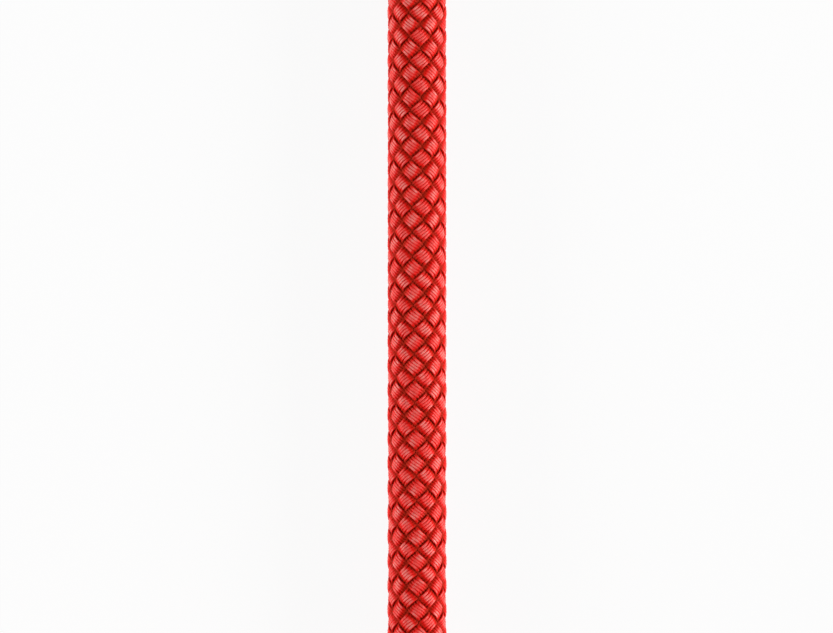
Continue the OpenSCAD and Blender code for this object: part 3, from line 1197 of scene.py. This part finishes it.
class ROPE_OT_sheath(bpy.types.Operator):
    """Braids the straight stretch: eight strands each way, each of several yarns"""

    bl_idname = "rope.sheath"
    bl_label = "Sheath strands"

    # Where a pick's rings lie, and how fast a yarn goes over, then its drift and swelling.
    RING_SHARES = (0.0, 0.17, 0.30, 0.40, 0.50, 0.60, 0.70, 0.83)
    SIDES = 8
    CORE_CLEAR = 0.00001
    STEEPNESS = 1.7
    DRIFT = 0.000025
    SWELL = 0.06
    WANDER_RINGS = 8
    SEED = 11

    def execute(self, context):
        layout = Layout(context.scene)
        rope = layout.rope
        shares = np.array(self.RING_SHARES)
        picks = (np.arange(rope.picks)[:, None] + shares[None, :]).ravel()
        down = np.append(picks, rope.picks) * rope.pick_l
        yarn = tube_mesh("yarn", len(down) - 1, self.SIDES)
        material = yarn_material(layout.colours, rope, layout.straight_l)
        chance = random.Random(self.SEED)
        for way, letter in ((Z_WAY, "z"), (S_WAY, "s")):
            for index in range(1, WAYS + 1):
                name = f"strand_{letter}{index}"
                mesh = joined(name, [yarn] * rope.yarns)
                points, lift, tone = self.strand(layout, way, index, down, yarn, chance)
                set_places(mesh, points)
                add_attribute(mesh, "lift", lift)
                add_attribute(mesh, "tone", tone)
                add_strip_map(mesh, rope.yarns, YARN_STRIPS, rope.yarns * YARN_STRIPS)
                add_piece(name, mesh, material, (f"sheath_{letter}{index}",))
        bpy.data.meshes.remove(yarn)
        return {"FINISHED"}

    def strand(self, layout, way, index, down, yarn, chance):
        """The places of one strand's yarns, how high each point lies, and its tone."""
        rope = layout.rope
        template = places(yarn)
        ring = np.rint(template[:, 0] * (len(down) - 1)).astype(int)
        low_r = layout.core_r + self.CORE_CLEAR
        high_r = layout.rope_r - rope.yarn_over_t
        mid_r = (low_r + layout.rope_r) / 2
        turn_rate = rope.twist - way * COLUMN_TURN / rope.pick_l
        arc_rate = math.radians(turn_rate) * mid_r
        size = math.hypot(arc_rate, 1.0)
        row = down / rope.pick_l
        middle = (rope.yarns - 1) / 2
        points, lifts, tones = [], [], []
        for number in range(rope.yarns):
            offset = (number - middle) * rope.yarn_step + self.wander(chance, down, self.DRIFT)
            offset = offset - rope.lean * np.sin(math.pi * row)
            across_arc, across_down = offset / size, -offset * arc_rate / size
            arc = arc_rate * (down - across_down) + across_arc
            degrees = BRAID_PHASE + 360 / WAYS * index + np.degrees(arc / mid_r)
            column = (degrees - BRAID_PHASE - rope.twist * down) / COLUMN_TURN
            first, second = (column + row) / 2, (column - row) / 2
            crossed = second if way == Z_WAY else first
            lift = way * np.cos(math.pi * (crossed + index))
            height = np.tanh(self.STEEPNESS * lift) / math.tanh(self.STEEPNESS)
            corner = -4 * way * (first - np.rint(first)) * (second - np.rint(second))
            dip = np.where(corner > 0, DIP_Z, DIP_S) * np.abs(corner) ** DIP_POWER
            lift = np.clip(lift, 0.0, 1.0) * (1 - dip)
            height = np.where(height > 0, height * (1 - DIP_DEPTH * dip), height)
            end_t = np.where(height > 0, rope.yarn_over_t, rope.yarn_under_t)
            thick = rope.yarn_side_t + (end_t - rope.yarn_side_t) * height ** 2
            thick = thick * (1 - rope.crown * ((number - middle) / middle) ** 2)
            swell = 1 + self.wander(chance, down, self.SWELL)
            half_t = thick / 2 * swell
            radius = low_r + (high_r - low_r) * (1 + height) / 2 + thick / 2
            centres = layout.on_rope(radius, degrees, down)
            ahead = heading(centres)
            radial = unit(centres - layout.on_rope(0 * down, degrees, down))
            across = unit(np.cross(ahead, radial))
            above = np.cross(across, ahead)
            half_w = rope.yarn_w / 2 * swell
            placed = swept(template, centres, across, above, half_w, half_t)
            placed[:, 1] = np.clip(placed[:, 1], layout.joint_y, layout.sheath_top_y)
            points.append(placed)
            # How high each point lies in the braid, lowered again at the corners: the material paints
            # shade where it is low.
            lifts.append((lift * (1 - dip))[ring])
            tones.append(np.full(len(template), chance.random()))
        return np.vstack(points), np.concatenate(lifts), np.concatenate(tones)

    def wander(self, chance, down, reach):
        """A smooth random drift along a yarn."""
        knots = len(down) // self.WANDER_RINGS + 2
        values = [chance.uniform(-reach, reach) for _ in range(knots)]
        return np.interp(np.linspace(0, knots - 1, len(down)), np.arange(knots), values)


class ROPE_OT_core(bpy.types.Operator):
    """Gives the core strands and the identification tape their yarn"""

    bl_idname = "rope.core"
    bl_label = "Core and tape"

    def execute(self, context):
        colours = context.scene.rope_colours
        white = core_material("core_yarn_twisted", colours.core, CORE_PLY)
        yellow = core_material("tape_woven", colours.tape, TAPE_PLY)
        for name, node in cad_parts.items():
            if name.startswith(("core_", "identification_tape")):
                for slot in node.material_slots:
                    slot.material = white if name.startswith("core_") else yellow
        return {"FINISHED"}


class ROPE_OT_near_end(bpy.types.Operator):
    """Adds the shrunk band and the fused tip at the end of the straight stretch"""

    bl_idname = "rope.near_end"
    bl_label = "Near end"

    def execute(self, context):
        layout = Layout(context.scene)
        end = (layout.rope_x, layout.sheath_top_y, layout.axis_z)
        add_end(layout, "a", end, (0.0, -1.0, 0.0))
        return {"FINISHED"}


STEPS = (
    ROPE_OT_stage,
    ROPE_OT_hank,
    ROPE_OT_sheath,
    ROPE_OT_core,
    ROPE_OT_near_end,
)


class ROPE_PT_sidebar(bpy.types.Panel):
    """Lists the steps that build the rope, and its sizes and colours"""

    bl_idname = "ROPE_PT_sidebar"
    bl_label = "Climbing rope"
    bl_space_type = "VIEW_3D"
    bl_region_type = "UI"
    bl_category = "Rope"

    def draw(self, context):
        for step in STEPS:
            self.layout.operator(step.bl_idname)
        for name, group in SETTINGS:
            box = self.layout.box()
            box.label(text=group.__name__)
            for key in group.__annotations__:
                box.prop(getattr(context.scene, name), key)


CLASSES = tuple(group for _, group in SETTINGS) + STEPS + (ROPE_PT_sidebar,)


def register():
    """Registers the classes and hangs the settings on the scene."""
    for one in CLASSES:
        bpy.utils.register_class(one)
    for name, group in SETTINGS:
        setattr(bpy.types.Scene, name, PointerProperty(type=group))


def unregister():
    """Takes the settings and the classes away again."""
    for name, _ in reversed(SETTINGS):
        delattr(bpy.types.Scene, name)
    for one in reversed(CLASSES):
        bpy.utils.unregister_class(one)


def main():
    """Builds the rope step by step."""
    register()
    bpy.ops.rope.stage()
    bpy.ops.rope.hank()
    bpy.ops.rope.sheath()
    bpy.ops.rope.core()
    bpy.ops.rope.near_end()


if __name__ == "__main__":
    main()
